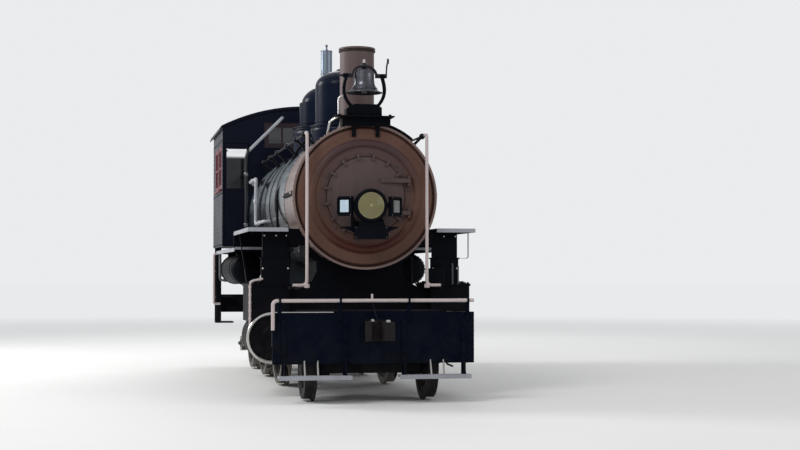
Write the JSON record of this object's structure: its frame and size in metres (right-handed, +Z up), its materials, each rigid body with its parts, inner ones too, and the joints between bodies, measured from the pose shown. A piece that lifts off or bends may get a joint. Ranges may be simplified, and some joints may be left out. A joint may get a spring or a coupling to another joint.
{
  "type": "steam locomotive",
  "caption": "Steam locomotive with a leading truck and coupled driving wheels, tall domes, a bell and a cab, on standard gauge.",
  "frame": {"origin": "centre of the overall box, at the bottom of the wheel flanges", "axes": "+Z up, -Y towards the smokebox and front coupler, +X to the right as seen from in front"},
  "size_m": [3.036, 9.172, 4.996],
  "materials": {
    "terracotta_paint": "satin, weathered",
    "stack_paint": "satin, sooty",
    "boiler_black": "semi gloss",
    "cab_black": "semi gloss",
    "frame_black": "satin",
    "wheel_black": "satin",
    "tyre_steel": "worn bright tread",
    "rod_steel": "machined, oiled",
    "coupler_iron": "cast",
    "cream_paint": "satin",
    "maroon_paint": "satin",
    "bell_bronze": "tarnished",
    "yoke_black": "satin",
    "whistle_grey": "dull",
    "lens_yellow": "moulded lens",
    "window_glass": "clear",
    "backhead_metal": "fittings"
  },
  "bodies": {
    "engine": {"smokebox": "terracotta_paint", "smokebox_front": "terracotta_paint", "stack": "stack_paint", "boiler_barrel": "boiler_black", "firebox": "boiler_black", "sand_dome": "boiler_black", "steam_dome": "boiler_black", "cab_front": "cab_black", "cab_sides": "cab_black", "cab_roof": "cab_black", "frame_left": "frame_black", "frame_right": "frame_black", "frame_stays": "frame_black", "leaf_springs": "frame_black", "brakes": "frame_black", "cylinders": "frame_black", "cylinder_saddle": "frame_black", "guide_yokes": "frame_black", "ashpan": "frame_black", "running_boards": "frame_black", "front_beam": "frame_black", "beam_brackets": "frame_black", "rear_beam": "frame_black", "drawbar": "frame_black", "air_reservoirs": "frame_black", "air_pump": "frame_black", "bell_stand": "frame_black", "handrail_posts": "frame_black", "cab_floor": "frame_black", "main_rods": "rod_steel", "crossheads": "rod_steel", "guide_bars": "rod_steel", "coupler": "coupler_iron", "handrails": "cream_paint", "board_edges": "cream_paint", "footboards": "cream_paint", "uncoupling_lever": "cream_paint", "window_frames": "maroon_paint", "whistle": "whistle_grey", "boiler_pipes": "whistle_grey", "window_glass": "window_glass", "backhead_fittings": "backhead_metal"},
    "driver_axle_1": {"driver_1_wheels": "wheel_black", "driver_1_tyres": "tyre_steel"},
    "driver_axle_2": {"driver_2_wheels": "wheel_black", "driver_2_tyres": "tyre_steel"},
    "driver_axle_3": {"driver_3_wheels": "wheel_black", "driver_3_tyres": "tyre_steel"},
    "side_rod_left": {"side_rod_left": "rod_steel"},
    "side_rod_right": {"side_rod_right": "rod_steel"},
    "pony_truck": {"pony_truck": "frame_black"},
    "pony_axle": {"pony_wheels": "wheel_black"},
    "bell": {"bell": "bell_bronze", "bell_yoke": "yoke_black"},
    "smokebox_door": {"smokebox_door": "terracotta_paint", "headlight": "frame_black", "headlight_lens": "lens_yellow", "number_lamps": "frame_black"},
    "cab_door_left": {"cab_door_left": "cab_black"},
    "cab_door_right": {"cab_door_right": "cab_black"}
  },
  "joints": [
    {"name": "driver_1_spin", "type": "hinge", "parent": "engine", "child": "driver_axle_1", "pos_m": [0, -0.934, 0.752], "axis": [1, 0, 0], "continuous": true},
    {"name": "driver_2_spin", "type": "hinge", "parent": "engine", "child": "driver_axle_2", "pos_m": [0, 0.966, 0.752], "axis": [1, 0, 0], "continuous": true},
    {"name": "driver_3_spin", "type": "hinge", "parent": "engine", "child": "driver_axle_3", "pos_m": [0, 2.866, 0.752], "axis": [1, 0, 0], "continuous": true},
    {"name": "side_rod_left_pin", "type": "hinge", "parent": "driver_axle_2", "child": "side_rod_left", "pos_m": [-0.883, 0.73265, 0.51865], "axis": [1, 0, 0], "continuous": true},
    {"name": "side_rod_right_pin", "type": "hinge", "parent": "driver_axle_2", "child": "side_rod_right", "pos_m": [0.883, 1.19935, 0.51865], "axis": [1, 0, 0], "continuous": true},
    {"name": "pony_steer", "type": "hinge", "parent": "engine", "child": "pony_truck", "pos_m": [0, -2.234, 0.428], "axis": [0, 0, 1], "range_deg": [-3, 3]},
    {"name": "pony_spin", "type": "hinge", "parent": "pony_truck", "child": "pony_axle", "pos_m": [0, -3.634, 0.408], "axis": [1, 0, 0], "continuous": true},
    {"name": "bell_swing", "type": "hinge", "parent": "engine", "child": "bell", "pos_m": [0, -3.444, 4.048], "axis": [1, 0, 0], "range_deg": [-60, 60]},
    {"name": "smokebox_door_swing", "type": "hinge", "parent": "engine", "child": "smokebox_door", "pos_m": [0.545, -3.534, 2.528], "axis": [0, 0, 1], "range_deg": [0, 70]},
    {"name": "cab_door_left_swing", "type": "hinge", "parent": "engine", "child": "cab_door_left", "pos_m": [-1.331, 2.056, 2.878], "axis": [0, 0, -1], "range_deg": [0, 90]},
    {"name": "cab_door_right_swing", "type": "hinge", "parent": "engine", "child": "cab_door_right", "pos_m": [1.331, 2.056, 2.878], "axis": [0, 0, 1], "range_deg": [0, 90]}
  ],
  "couplings": [
    {"joint": "driver_1_spin", "follows": "driver_2_spin", "ratio": 1},
    {"joint": "driver_3_spin", "follows": "driver_2_spin", "ratio": 1},
    {"joint": "side_rod_left_pin", "follows": "driver_2_spin", "ratio": -1},
    {"joint": "side_rod_right_pin", "follows": "driver_2_spin", "ratio": -1}
  ]
}
